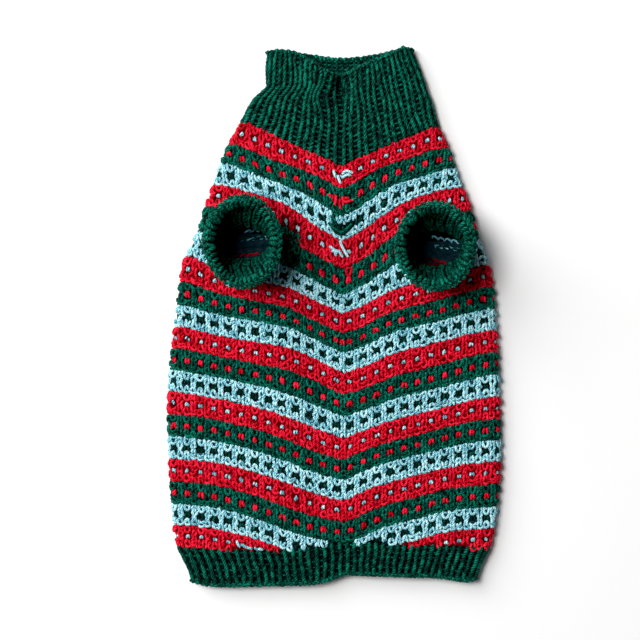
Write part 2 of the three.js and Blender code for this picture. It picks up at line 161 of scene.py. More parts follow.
# Y of the top of some bands, from the left side turn to the right one. The rows dip to the centre line.
ROW_W = [-1.0, -0.85, -0.7, -0.5, -0.35, -0.2, -0.1, 0.0, 0.1, 0.2, 0.35, 0.5, 0.7, 0.85, 1.0]
ROW_Y = {
    1: [150.5, 146.0, 141.4, 135.0, 130.0, 124.4, 120.8, 115.9, 120.2, 123.7, 128.5, 133.0, 138.6, 142.8, 146.7],
    2: [133.5, 128.9, 124.4, 118.4, 114.0, 108.6, 103.9, 98.7, 102.7, 107.4, 114.1, 119.3, 123.9, 127.6, 130.4],
    3: [119.2, 114.0, 109.0, 102.5, 97.6, 89.6, 83.6, 77.4, 81.8, 88.0, 96.3, 102.7, 107.9, 111.6, 115.2],
    4: [102.0, 98.9, 95.2, 89.2, 81.8, 70.6, 64.2, 58.1, 63.0, 69.3, 79.2, 87.0, 94.0, 97.5, 99.9],
    5: [85.6, 80.4, 74.4, 66.0, 58.0, 48.9, 43.0, 37.2, 41.2, 47.6, 59.2, 67.6, 75.0, 79.4, 82.0],
    6: [65.4, 58.4, 51.6, 44.6, 38.4, 29.0, 22.6, 16.4, 21.4, 28.2, 38.2, 46.0, 53.4, 57.2, 59.4],
    7: [46.4, 38.6, 32.0, 26.6, 22.3, 14.2, 8.3, 2.7, 6.4, 12.1, 20.2, 25.8, 31.4, 36.0, 40.2],
    8: [26.7, 20.4, 15.6, 11.2, 7.2, -1.4, -7.4, -12.4, -9.7, -3.9, 4.3, 8.6, 14.0, 18.7, 22.8],
    10: [-8.1, -12.2, -16.3, -20.4, -23.6, -30.6, -37.0, -43.4, -40.4, -35.8, -28.4, -23.9, -18.2, -13.8, -10.8],
    12: [-41.4, -44.6, -48.2, -53.6, -58.6, -66.2, -71.8, -77.0, -73.6, -69.6, -63.0, -59.0, -53.4, -48.8, -44.9],
    14: [-75.5, -77.9, -81.4, -87.9, -94.6, -102.6, -107.0, -110.6, -105.4, -100.5, -95.2, -91.1, -85.2, -81.4, -79.3],
    16: [-110.3, -111.9, -114.8, -121.6, -128.4, -135.8, -139.6, -142.4, -137.2, -131.8, -126.6, -122.2, -117.0, -114.1, -112.2],
    18: [-145.1, -146.8, -150.4, -158.1, -165.4, -171.2, -173.6, -175.2, -171.8, -166.7, -160.6, -156.8, -150.6, -148.6, -147.7],
    20: [-178.6, -180.0, -183.4, -190.0, -197.0, -203.0, -205.6, -207.6, -204.0, -199.4, -193.2, -189.6, -184.0, -181.6, -181.0],
}


class Curve:
    """Smooth curve through a table's rows, held flat past its ends."""

    def __init__(self, xs, ys):
        self.x, self.y = np.asarray(xs, float), np.asarray(ys, float)
        steep = np.diff(self.y) / np.diff(self.x)
        slope = np.empty_like(self.y)
        slope[0], slope[-1] = steep[0], steep[-1]
        a, b = steep[:-1], steep[1:]
        with np.errstate(divide="ignore", invalid="ignore"):
            slope[1:-1] = np.where(a * b <= 0, 0.0, 2 * a * b / np.where(a + b == 0, 1, a + b))
        self.m = slope

    def __call__(self, v):
        v = np.asarray(v, float)
        i = np.clip(np.searchsorted(self.x, v, side="right") - 1, 0, len(self.x) - 2)
        gap = self.x[i + 1] - self.x[i]
        t = np.clip((v - self.x[i]) / gap, 0, 1)
        return ((2 * t**3 - 3 * t**2 + 1) * self.y[i] + (t**3 - 2 * t**2 + t) * gap * self.m[i]
                + (-2 * t**3 + 3 * t**2) * self.y[i + 1] + (t**3 - t**2) * gap * self.m[i + 1])


left_of, right_of, crown_of = (Curve(OUTLINE["y"], OUTLINE[k]) for k in ("left", "right", "crown"))
hem_seam, hem_edge = Curve(HEM_SEAM["w"], HEM_SEAM["y"]), Curve(HEM_EDGE["w"], HEM_EDGE["y"])
collar_front, collar_back = Curve(COLLAR_FRONT["w"], COLLAR_FRONT["y"]), Curve(COLLAR_BACK["w"], COLLAR_BACK["y"])
_half = len(ROW_W) // 2
_rows_left = [Curve(ROW_W[: _half + 1], v[: _half + 1]) for v in ROW_Y.values()]
_rows_right = [Curve(ROW_W[_half:], v[_half:]) for v in ROW_Y.values()]
_row_keys = np.array(list(ROW_Y), float)


def mix(a, b, t):
    return a + (b - a) * t


def centre(y):
    return mix(CENTRE_AT_NECK, CENTRE_AT_HEM, (NECK_TIP - np.asarray(y, float)) / (NECK_TIP + 180))


def reach(side, y):
    """Distance from the centre line to where the side turn begins."""
    return np.where(side < 0, centre(y) - left_of(y), right_of(y) - centre(y)) - FOLD_REACH


def drape(x, y):
    total = np.zeros(np.broadcast(x, y).shape)
    for dx, dy, long, wide, turn, rise in DRAPES:
        c, s = math.cos(math.radians(turn)), math.sin(math.radians(turn))
        along = ((x - dx) * c + (y - dy) * s) / long
        aside = ((y - dy) * c - (x - dx) * s) / wide
        total = total + rise * np.exp(-along**2 - aside**2)
    return total


def creases(x, y):
    total = np.zeros(np.broadcast(x, y).shape)
    for dx, dy, long, wide, turn, rise in CREASES:
        c, s = math.cos(math.radians(turn)), math.sin(math.radians(turn))
        along = ((x - dx) * c + (y - dy) * s) / long
        aside = ((y - dy) * c - (x - dx) * s) / wide
        total = total + rise * np.exp(-along**2 - aside**2)
    return total


def top_height(w, y):
    x = centre(y) + w * reach(np.sign(w), y)
    rise = drape(x, y) + creases(x, y)
    return FOLD_HEIGHT + (crown_of(y) - FOLD_HEIGHT + rise) * (1 - np.abs(np.clip(w, -1, 1)) ** 2.4)


def top_height_at(x, y):
    off = x - centre(y)
    return top_height(np.clip(off / reach(np.sign(off), y), -1, 1), y)


def neck(w):
    return NECK_TIP + np.where(w < 0, NECK_RISE_LEFT, NECK_RISE_RIGHT) * np.abs(w) ** NECK_CURVE


def row_y(t, w):
    """Y of row coordinate t, where band n runs from n to n + 1, at the share w across the belly."""
    t, w = np.broadcast_arrays(np.asarray(t, float), np.asarray(w, float))
    table = np.stack([np.where(w < 0, a(w), b(w)) for a, b in zip(_rows_left, _rows_right)])
    steep = np.diff(table, axis=0) / np.diff(_row_keys).reshape((-1,) + (1,) * w.ndim)
    slope = np.empty_like(table)
    slope[0], slope[-1] = steep[0], steep[-1]
    slope[1:-1] = 2 * steep[:-1] * steep[1:] / (steep[:-1] + steep[1:])
    i = np.clip(np.searchsorted(_row_keys, t, side="right") - 1, 0, len(_row_keys) - 2)
    lower, upper = _row_keys[i], _row_keys[i + 1]
    u = (t - lower) / (upper - lower)
    pick = lambda a, k: np.take_along_axis(a, k[None], 0)[0]
    gap = upper - lower
    inside = np.clip(u, 0, 1)
    y = ((2 * inside**3 - 3 * inside**2 + 1) * pick(table, i) + (inside**3 - 2 * inside**2 + inside) * gap * pick(slope, i)
         + (-2 * inside**3 + 3 * inside**2) * pick(table, i + 1) + (inside**3 - inside**2) * gap * pick(slope, i + 1))
    beyond = np.where(u < 0, u * gap * pick(slope, i), np.where(u > 1, (u - 1) * gap * pick(slope, i + 1), 0))
    return y + beyond


TURN = math.pi * 5.35  # length of cloth in a side turn
BACK_BOW = 11.0  # the rows of the back bow towards the neck between the legs
EVEN_SLOPE = 20.0  # rows flatter than this many degrees keep their wales upright

_t_grid = np.linspace(0.5, 21.0, 124)
_w_grid = np.linspace(0.0, 1.0, 81)
_s_grid = np.linspace(0.0, 150.0, 151)
_share_at, _length_of = {}, {}
for _side in (-1.0, 1.0):
    _y = row_y(_t_grid[:, None], _side * _w_grid[None])
    _x = _w_grid[None] * reach(_side, _y)
    _dx, _dy = np.diff(_x, axis=1), np.diff(_y, axis=1)
    _step = np.maximum(_dx, np.hypot(_dx, _dy) * math.cos(math.radians(EVEN_SLOPE)))
    _s = np.concatenate([np.zeros((len(_t_grid), 1)), np.cumsum(_step, 1)], 1)
    _length_of[_side] = _s[:, -1]
    _share_at[_side] = np.stack([np.interp(_s_grid, row, _w_grid) for row in _s])


def row_length(t, side):
    return np.where(side < 0, np.interp(t, _t_grid, _length_of[-1.0]), np.interp(t, _t_grid, _length_of[1.0]))


def row_share(t, side, a):
    """Share of the way to the side turn that lies a millimetres along row t."""
    i = np.clip((t - _t_grid[0]) / (_t_grid[1] - _t_grid[0]), 0, len(_t_grid) - 1.001)
    j = np.clip(a / (_s_grid[1] - _s_grid[0]), 0, len(_s_grid) - 1.001)
    i0, j0 = i.astype(int), j.astype(int)
    fi, fj = i - i0, j - j0
    out = []
    for key in (-1.0, 1.0):
        g = _share_at[key]
        out.append((g[i0, j0] * (1 - fj) + g[i0, j0 + 1] * fj) * (1 - fi) + (g[i0 + 1, j0] * (1 - fj) + g[i0 + 1, j0 + 1] * fj) * fi)
    return np.where(side < 0, out[0], out[1])


def turn_point(side, angle, y, depth):
    inner = np.where(side < 0, left_of(y) + FOLD_REACH, right_of(y) - FOLD_REACH)
    x = inner + side * (FOLD_REACH - depth) * np.cos(angle)
    z = FOLD_HEIGHT / 2 + (FOLD_HEIGHT / 2 - depth) * np.sin(angle)
    return x, z


def body_point(s, t, depth):
    """A point of the body's cloth: s is the way round from the belly's centre line, t the row, depth below its outside."""
    s, t, depth = np.broadcast_arrays(np.asarray(s, float), np.asarray(t, float), np.asarray(depth, float))
    side = np.where(s < 0, -1.0, 1.0)
    a = np.abs(s)
    y_side = row_y(t, side)
    span = row_length(t, side)
    w = row_share(t, side, a)
    y = row_y(t, side * w)
    x_top, z_top = centre(y) + side * w * reach(side, y), top_height(side * w, y) - depth
    angle = np.pi / 2 - np.pi * np.clip((a - span) / TURN, 0, 1)
    x_turn, z_turn = turn_point(side, angle, y_side, depth)
    x_turn = x_turn + side * 0.6 * np.cos(angle) * np.cos(4 * np.pi * (t - 0.22))  # a lump where each pair of rows turns
    w_back = np.clip(1 - (a - span - TURN) / reach(side, y_side), -0.02, 1)
    y_other = row_y(t, -side)
    y_back = mix(y_side, y_other, (1 - w_back) / 2)
    y_back = y_back + BACK_BOW * (1 - w_back**2) * np.exp(-((y_back - 50) / 62) ** 2)
    x_back, z_back = centre(y_back) + side * w_back * reach(side, y_back), depth
    top, back = a <= span, a > span + TURN
    x = np.where(top, x_top, np.where(back, x_back, x_turn))
    yy = np.where(top, y, np.where(back, y_back, y_side))
    z = np.where(top, z_top, np.where(back, z_back, z_turn))
    return np.stack([x, yy, z], -1)


CORNER = 2.2  # how far the corners of collar and hem are rounded off


def push_aside(x, y):
    """How far the collar's crease and the roll beside it move the ribs, in X."""
    line = mix(5.0, 8.5, np.clip((y - 158) / 28, 0, 1))
    off = x - line
    parted = 2.4 * np.tanh(off / 1.5) * np.exp(-((off / 8.5) ** 2)) * np.exp(-(((y - 177) / 13.0) ** 2))
    bowed = -6.0 * np.exp(-(((x + 7) / 8.0) ** 2)) * np.exp(-(((y - 170) / 11.0) ** 2))
    return parted + bowed


def tube_point(start_top, start_back, end_top, end_back, push=None):
    """A flattened rib tube. u from 0 to 1 goes once round from the front's centre to the right, v from start to end."""

    def point(u, v, depth):
        u, v, depth = np.broadcast_arrays(np.asarray(u, float), np.asarray(v, float), np.asarray(depth, float))
        u = u % 1.0
        side = np.where(u < 0.5, 1.0, -1.0)
        share = np.where(u < 0.5, u, 1 - u) * 2
        y_side = mix(start_top(side), end_top(side), v)
        span = reach(side, y_side)
        total = 2 * span + TURN
        a = share * total
        w = np.clip(a / span, 0, 1)
        y_top = mix(start_top(side * w), end_top(side * w), v)
        x_top, z_top = centre(y_top) + side * w * reach(side, y_top), top_height(side * w, y_top) - depth
        if push is not None:
            x_top = x_top + push(x_top, y_top)
            rolled = np.exp(-(((side * w + 0.3) / 0.34) ** 2))
            z_top = z_top + rolled * (3.2 * np.exp(-(((v - 0.955) / 0.05) ** 2)) - 1.9 * np.exp(-(((v - 0.84) / 0.045) ** 2)))
        angle = np.pi / 2 - np.pi * np.clip((a - span) / TURN, 0, 1)
        x_turn, z_turn = turn_point(side, angle, y_side, depth)
        w_back = np.clip(1 - (a - span - TURN) / span, 0, 1)
        y_back = mix(start_back(side * w_back), end_back(side * w_back), v)
        round_off = -1.0 * np.sign(end_top(1.0) - start_top(1.0)) * CORNER * v**6 * np.exp(-(((a - span - TURN / 2) / 8.0) ** 2))
        x_back = centre(y_back) + side * w_back * reach(side, y_back)
        top, back = a <= span, a > span + TURN
        x = np.where(top, x_top, np.where(back, x_back, x_turn))
        y = np.where(top, y_top, np.where(back, y_back, y_side)) + round_off
        z = np.where(top, z_top, np.where(back, depth, z_turn))
        return np.stack([x, y, z], -1)

    return point


def level(line):
    return lambda w: mix(line(-1.0), line(1.0), (np.asarray(w) + 1) / 2)


collar_point = tube_point(lambda w: neck(w) + 0.3, lambda w: level(neck)(w) + 0.3, collar_front, collar_back, push_aside)
hem_point = tube_point(lambda w: hem_seam(w) - 0.3, lambda w: level(hem_seam)(w) - 0.3, hem_edge,
                       lambda w: hem_edge(w) + HEM_EDGE_BACK_INSET * (1 - np.asarray(w) ** 2))


def cuff_point(name):
    c = CUFFS[name]
    dx, dy, ax, ay = (Curve(c["up"], c[k]) for k in ("dx", "dy", "across", "along"))
    middle = top_height_at(c["x"], c["y"])
    thick = lambda v: 1 + CUFF_LIP / RIB_WALL * np.maximum(0, (v - CUFF_LIP_FROM) / (1 - CUFF_LIP_FROM))

    def point(u, v, depth):
        u, v, depth = np.broadcast_arrays(np.asarray(u, float), np.asarray(v, float), np.asarray(depth, float))
        angle = 2 * np.pi * u
        foot = top_height_at(c["x"] + c["across"][0] * np.cos(angle), c["y"] + c["along"][0] * np.sin(angle)) - BODY_WALL
        return np.stack([
            c["x"] + dx(v) + (ax(v) - depth * thick(v)) * np.cos(angle),
            c["y"] + dy(v) + (ay(v) - depth * thick(v)) * np.sin(angle),
            mix(foot, middle + CUFF_RISE, v),
        ], -1)

    return point


# ------------------------------------------------------------------ meshes
class Yarns:
    """Collects lengths of yarn as tubes, to be made into one mesh."""

    def __init__(self):
        self.co, self.quads, self.uv, self.caps, self.shade, self.count = [], [], [], [], [], 0

    def add(self, points, outward, radius, sides=6, closed=False, squash=1.0, tip=0.55, tone=0.0):
        """points and outward are n lengths of m points. radius is a number, or n by m. tone is lighter above 0."""
        n, m, _ = points.shape
        if n == 0:
            return
        if closed:
            tangent = np.roll(points, -1, 1) - np.roll(points, 1, 1)
        else:
            tangent = np.gradient(points, axis=1)
        tangent /= np.linalg.norm(tangent, axis=2, keepdims=True) + 1e-9
        across = np.cross(tangent, outward)
        across /= np.linalg.norm(across, axis=2, keepdims=True) + 1e-9
        up = np.cross(across, tangent)
        radius = np.broadcast_to(np.asarray(radius, float), (n, m)).copy()
        if not closed:
            radius[:, 0] *= tip
            radius[:, -1] *= tip
        angle = 2 * np.pi * np.arange(sides) / sides
        ring = (points[:, :, None] + radius[:, :, None, None] * (
            np.cos(angle)[None, None, :, None] * across[:, :, None]
            + squash * np.sin(angle)[None, None, :, None] * up[:, :, None]))
        base = self.count + np.arange(n)[:, None, None] * m * sides
        steps = m if closed else m - 1
        i, j = np.arange(steps)[None, :, None], np.arange(sides)[None, None, :]
        i1, j1 = (i + 1) % m, (j + 1) % sides
        quad = np.stack([base + i * sides + j, base + i1 * sides + j, base + i1 * sides + j1, base + i * sides + j1], -1)
        length = np.zeros((n, m + 1))
        step = np.linalg.norm(np.diff(points, axis=1), axis=2)
        length[:, 1:m] = np.cumsum(step, 1)
        length[:, m] = length[:, m - 1] + (np.linalg.norm(points[:, 0] - points[:, -1], axis=1) if closed else 0)
        length += rng.uniform(0, 30, (n, 1))
        a0, a1 = length[:, :steps, None], length[:, 1:steps + 1, None]
        v0, v1 = j / sides, (j + 1) / sides
        shape = (n, steps, sides)
        uv = np.stack([np.stack(np.broadcast_arrays(a, b), -1) for a, b in ((a0, v0), (a1, v0), (a1, v1), (a0, v1))], -2)
        self.co.append(ring.reshape(-1, 3))
        self.quads.append(quad.reshape(-1, 4))
        self.uv.append(np.broadcast_to(uv, shape + (4, 2)).reshape(-1, 2))
        if not closed:
            first = base[:, 0] + np.arange(sides)[None, ::-1]
            last = base[:, 0] + (m - 1) * sides + np.arange(sides)[None]
            self.caps.append((sides, np.concatenate([first, last])))
        self.shade.append(np.repeat(rng.normal(tone, 1, n), m * sides))
        self.count += n * m * sides

    def mesh(self, name, floor=None):
        co = np.concatenate(self.co)
        if floor is not None:
            co[:, 2] = np.maximum(co[:, 2], floor)
        quads = np.concatenate(self.quads)
        loops = [quads.reshape(-1)]
        totals = [np.full(len(quads), 4)]
        uv = [np.concatenate(self.uv)]
        for sides, caps in self.caps:
            loops.append(caps.reshape(-1))
            totals.append(np.full(len(caps), sides))
            uv.append(np.zeros((caps.size, 2)))
        loops, totals, uv = np.concatenate(loops), np.concatenate(totals), np.concatenate(uv)
        me = bpy.data.meshes.new(name)
        me.vertices.add(len(co))
        me.vertices.foreach_set("co", (co / 1000).astype(np.float32).ravel())
        me.loops.add(len(loops))
        me.loops.foreach_set("vertex_index", loops.astype(np.int32))
        me.polygons.add(len(totals))
        starts = np.concatenate([[0], np.cumsum(totals)[:-1]]).astype(np.int32)
        me.polygons.foreach_set("loop_start", starts)
        me.polygons.foreach_set("loop_total", totals.astype(np.int32))
        me.polygons.foreach_set("use_smooth", np.ones(len(totals), bool))
        layer = me.uv_layers.new(name="Yarn")
        layer.data.foreach_set("uv", uv.astype(np.float32).ravel())
        attribute = me.attributes.new("shade", "FLOAT", "POINT")
        attribute.data.foreach_set("value", np.concatenate(self.shade).astype(np.float32))
        me.update(calc_edges=True)
        me.validate()
        return me


def smooth_path(control, steps):
    """control: k points (a, b, d). Returns steps points on a smooth curve through them."""
    c = np.asarray(control, float)
    p = np.vstack([2 * c[0] - c[1], c, 2 * c[-1] - c[-2]])
    u = np.linspace(0, len(c) - 1 - 1e-9, steps)
    i = u.astype(int)
    f = (u - i)[:, None]
    p0, p1, p2, p3 = p[i], p[i + 1], p[i + 2], p[i + 3]
    return 0.5 * (2 * p1 + (p2 - p0) * f + (2 * p0 - 5 * p1 + 4 * p2 - p3) * f**2 + (3 * p1 - p0 - 3 * p2 + p3) * f**3)


def mirrored(half):
    """A path that runs down its left half and up the same on the right. The last point is on the middle."""
    return half + [(-a, b, d) for a, b, d in reversed(half[:-1])]


# Stitch shapes: across in mm, down in rows, depth in mm below the cloth's outside. Legs are the right one of a pair.
LEG = [(0.5, -0.28, 2.3), (0.95, -0.1, 0.95), (1.5, 0.1, 0.85), (1.95, 0.28, 2.2)]
SPREAD = [(1.9, -0.28, 2.2), (1.6, -0.1, 0.85), (1.05, 0.1, 0.95), (0.75, 0.28, 2.3)]
NARROW = [(0.4, -0.28, 2.3), (0.8, -0.1, 1.1), (1.05, 0.1, 1.0), (1.2, 0.28, 2.2)]
BEAD = [(-1.25, 0.06, 1.7), (-0.5, -0.04, 0.85), (0.5, 0.04, 0.8), (1.25, -0.06, 1.7)]
SLIM = [(0.55, -0.28, 2.2), (0.85, -0.1, 0.95), (0.95, 0.1, 0.9), (0.8, 0.28, 2.2)]
HANGING = mirrored([(-1.9, -0.5, 2.3), (-2.15, -0.2, 0.95), (-1.8, 0.14, 0.8), (-0.95, 0.36, 0.72), (0.0, 0.42, 0.7)])
KNOB = [(-0.8, -0.16, 1.9), (-0.25, -0.24, 1.35), (0.25, -0.24, 1.35), (0.8, -0.16, 1.9)]
ARC = mirrored([(-2.3, -0.12, 2.2), (-1.4, 0.1, 0.9), (0.0, 0.17, 0.7)])
UNDER = mirrored([(-0.85, -0.7, 1.95), (-1.5, -0.35, 1.4), (-1.65, 0.0, 1.0), (-1.1, 0.34, 0.8), (0.0, 0.46, 0.78)])
UNDER_DOT = [(0.7, -0.32, 1.9), (0.85, -0.14, 1.4), (1.15, 0.08, 1.25), (1.45, 0.26, 1.5), (1.5, 0.36, 1.9)]
DOTS = {
    "red": [(0.75, -0.32, 2.0), (0.9, -0.14, 1.4), (1.15, 0.06, 1.25), (1.35, 0.24, 1.5), (1.4, 0.34, 2.1)],
    "blue": [(0.5, -0.2, 2.35), (0.6, -0.08, 1.9), (0.75, 0.02, 1.8), (0.9, 0.12, 1.95), (0.95, 0.2, 2.35)],
    "green": [(0.8, -0.32, 2.4), (1.0, -0.12, 2.0), (1.25, 0.06, 1.95), (1.45, 0.22, 2.05), (1.55, 0.34, 2.4)],
}
CUFF_LEG = [(1.6, 0.74, 1.9), (1.85, 0.37, 1.15), (2.1, 0.0, 0.9), (2.3, -0.37, 1.1), (2.45, -0.74, 1.9)]
RIB_LEG = [(2.1, 0.74, 1.8), (2.35, 0.37, 1.05), (2.6, 0.0, 0.8), (2.8, -0.37, 0.95), (2.95, -0.74, 1.8)]
HEM_LEG = [(2.7, 0.74, 1.15), (2.75, 0.37, 1.0), (2.85, 0.0, 0.95), (2.95, -0.37, 1.0), (3.0, -0.74, 1.15)]
LIP_LEG = [(2.1, -0.1, 0.1), (2.15, -1.5, -0.2), (2.2, -3.0, -0.1), (2.2, -4.1, 0.3)]
INNER_LEG = [(1.8, 0.74, 1.6), (1.9, 0.37, 1.1), (2.0, 0.0, 0.95), (2.1, -0.37, 1.05), (2.2, -0.74, 1.6)]


def other_leg(leg):
    return [(-a, b, d) for a, b, d in leg]


def lay(yarns, place, spots, shape, radius, sides, steps, closed=False, units=(1.0, 1.0), scale=1.0, jitter=0.12, squash=1.0,
        flip_depth=None, skew=0.05, swell=0.04, tip=0.55, rough=0.08, tone=0.0):
    """Lays one stitch shape at each spot (s, t). units turn across and down into the surface's own coordinates."""
    if len(spots) == 0:
        return
    spots = np.asarray(spots, float)
    path = np.asarray(shape, float) if closed else smooth_path(shape, steps)
    n, m = len(spots), len(path)
    wide = 1 + rng.normal(0, swell, (n, 1))
    tilt = rng.normal(0, skew, (n, 1))
    a = path[None, :, 0] * wide * np.reshape(scale, (-1, 1)) + tilt * path[None, :, 1] * 5 + rng.normal(0, jitter, (n, 1))
    b = path[None, :, 1] * (1 + rng.normal(0, swell, (n, 1))) - tilt * path[None, :, 0] / 5 + rng.normal(0, jitter / 5, (n, 1))
    d = path[None, :, 2] + rng.normal(0, rough, (n, 1))
    if flip_depth is not None:
        d = flip_depth - d
    unit_a = np.reshape(units[0], (-1, 1)) * np.ones((n, 1))
    s, t = spots[:, :1] + a * unit_a, spots[:, 1:2] + b * units[1]
    here = place(s, t, d)
    outside = here - place(s, t, d + (0.4 if flip_depth is None else -0.4))
    outside /= np.linalg.norm(outside, axis=2, keepdims=True) + 1e-9
    r = radius * (1 + rng.normal(0, 0.04, (n, 1))) * np.ones((1, m))
    yarns.add(here, outside, r, sides, closed, squash, tip, tone)


# ------------------------------------------------------------------ materials
def linear(rgb):
    return tuple(c / 12.92 if c <= 0.04045 else ((c + 0.055) / 1.055) ** 2.4 for c in (x / 255 for x in rgb)) + (1.0,)


YARN_COLOURS = {  # painted shade in the grooves, plain, painted highlight on the crests; both ends also carry the heather's own darker and lighter tones
    "green": ((0, 10, 12), (0, 60, 49), (8, 128, 104)),
    "red": ((106, 0, 8), (204, 0, 26), (255, 42, 74)),
    "blue": ((30, 104, 130), (130, 205, 217), (212, 250, 254)),
}


def yarn_material(colour):
    groove_tone_and_shade, plain, crest_tone_and_highlight = (linear(c) for c in YARN_COLOURS[colour])
    mat = bpy.data.materials.new(f"{colour}_yarn")
    mat.use_nodes = True
    nt = mat.node_tree
    n, link = nt.nodes, nt.links
    shader = n["Principled BSDF"]
    shader.inputs["Roughness"].default_value = 0.86
    shader.inputs["Specular IOR Level"].default_value = 0.12
    shader.inputs["Sheen Weight"].default_value = 0.12
    shader.inputs["Sheen Roughness"].default_value = 0.45
    shader.inputs["Sheen Tint"].default_value = crest_tone_and_highlight
    uv = n.new("ShaderNodeUVMap")
    uv.uv_map = "Yarn"
    split = n.new("ShaderNodeSeparateXYZ")
    link.new(uv.outputs[0], split.inputs[0])

    def maths(op, a, b=None, c=None):
        node = n.new("ShaderNodeMath")
        node.operation = op
        for k, v in enumerate((a, b, c)):
            if v is None:
                continue
            if isinstance(v, (int, float)):
                node.inputs[k].default_value = v
            else:
                link.new(v, node.inputs[k])
        return node.outputs[0]

    # three plies that wind round the yarn once in 6 mm
    phase = maths("MULTIPLY_ADD", split.outputs[0], 1 / 2.0, maths("MULTIPLY", split.outputs[1], 3.0))
    ply = maths("ABSOLUTE", maths("SINE", maths("MULTIPLY", phase, math.pi)))
    coords = n.new("ShaderNodeTexCoord")
    fibre_space = n.new("ShaderNodeCombineXYZ")
    link.new(maths("MULTIPLY", phase, 9.0), fibre_space.inputs[0])
    link.new(maths("MULTIPLY", split.outputs[0], 0.9), fibre_space.inputs[1])
    fibre = n.new("ShaderNodeTexNoise")
    fibre.inputs["Scale"].default_value = 1.0
    fibre.inputs["Detail"].default_value = 3.0
    link.new(fibre_space.outputs[0], fibre.inputs["Vector"])
    heather = n.new("ShaderNodeTexNoise")
    heather.inputs["Scale"].default_value = 330.0
    heather.inputs["Detail"].default_value = 2.0
    link.new(coords.outputs["Object"], heather.inputs["Vector"])
    own = n.new("ShaderNodeAttribute")
    own.attribute_name = "shade"

    # The ply term paints shade into the grooves between the plies and a highlight onto their crests. Fibre and heather
    # noise vary the colour at random, and so does each stitch's own tone, which is shifted where painted shade is laid
    # on.
    tone = maths("ADD", maths("MULTIPLY", ply, 0.55), maths("MULTIPLY", fibre.outputs["Fac"], 0.55))
    tone = maths("ADD", tone, maths("MULTIPLY", maths("SUBTRACT", heather.outputs["Fac"], 0.5), 0.9))
    tone = maths("ADD", tone, maths("MULTIPLY", own.outputs["Fac"], 0.085))
    ramp = n.new("ShaderNodeValToRGB")
    ramp.color_ramp.elements[0].position, ramp.color_ramp.elements[0].color = 0.26, groove_tone_and_shade
    ramp.color_ramp.elements[1].position, ramp.color_ramp.elements[1].color = 0.92, crest_tone_and_highlight
    middle = ramp.color_ramp.elements.new(0.62)
    middle.color = plain
    link.new(tone, ramp.inputs[0])
    link.new(ramp.outputs[0], shader.inputs["Base Color"])
    bump = n.new("ShaderNodeBump")
    bump.inputs["Strength"].default_value = 0.55
    bump.inputs["Distance"].default_value = 0.00035
    link.new(maths("ADD", ply, maths("MULTIPLY", fibre.outputs["Fac"], 0.5)), bump.inputs["Height"])
    link.new(bump.outputs[0], shader.inputs["Normal"])
    return mat


def cloth_material(colour, name, shade_on_bumps, shade_between_bumps):
    """The inner face of the knitting: rows of low bumps, in the yarn's colour darkened as painted shade of the holes
    between stitches, and darker still between the bumps as painted shade.
    """
    groove_tone_and_shade, plain, _ = (np.array(linear(c)) for c in YARN_COLOURS[colour])
    mat = bpy.data.materials.new(name)
    mat.use_nodes = True
    nt = mat.node_tree
    n, link = nt.nodes, nt.links
    shader = n["Principled BSDF"]
    shader.inputs["Roughness"].default_value = 0.92
    shader.inputs["Specular IOR Level"].default_value = 0.1
    coords = n.new("ShaderNodeTexCoord")
    bumps = n.new("ShaderNodeTexVoronoi")
    bumps.inputs["Scale"].default_value = 260.0
    link.new(coords.outputs["Object"], bumps.inputs["Vector"])
    grain = n.new("ShaderNodeTexNoise")
    grain.inputs["Scale"].default_value = 900.0
    grain.inputs["Detail"].default_value = 3.0
    link.new(coords.outputs["Object"], grain.inputs["Vector"])
    ramp = n.new("ShaderNodeValToRGB")
    ramp.color_ramp.elements[0].color = tuple(plain[:3] * shade_on_bumps) + (1,)
    ramp.color_ramp.elements[1].position = 0.75
    ramp.color_ramp.elements[1].color = tuple(groove_tone_and_shade[:3] * shade_between_bumps) + (1,)
    link.new(bumps.outputs["Distance"], ramp.inputs[0])
    link.new(ramp.outputs[0], shader.inputs["Base Color"])
    bump = n.new("ShaderNodeBump")
    bump.invert = True
    bump.inputs["Strength"].default_value = 0.8
    bump.inputs["Distance"].default_value = 0.0008
    link.new(bumps.outputs["Distance"], bump.inputs["Height"])
    fine = n.new("ShaderNodeBump")
    fine.inputs["Strength"].default_value = 0.5
    fine.inputs["Distance"].default_value = 0.0002
    link.new(grain.outputs["Fac"], fine.inputs["Height"])
    link.new(bump.outputs[0], fine.inputs["Normal"])
    link.new(fine.outputs[0], shader.inputs["Normal"])
    return mat


YARN = {c: yarn_material(c) for c in YARN_COLOURS}
# The sheets under the yarn are painted shade: the band colour darkened by these factors on the bumps and between them,
# as it shows through the holes between stitches.
CLOTH = {c: cloth_material(c, f"{c}_cloth", *painted_shades) for c, painted_shades in {"green": (0.36, 0.4), "red": (0.5, 0.5), "blue": (0.1, 0.15)}.items()}
# Darker copies of the same cloth are painted shade for the back layer and the unlit floats inside it.
SHADED = {c: cloth_material(c, f"{c}_cloth_painted_shade", *painted_shades) for c, painted_shades in {"green": (0.2, 0.2), "red": (0.2, 0.2), "blue": (0.05, 0.1)}.items()}


def put(me, name, materials, nodes):
    for m in materials:
        me.materials.append(m)
    ob = bpy.data.objects.new(name, me)
    bpy.context.scene.collection.objects.link(ob)
    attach(ob, "root")
    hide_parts(*nodes)
    return ob


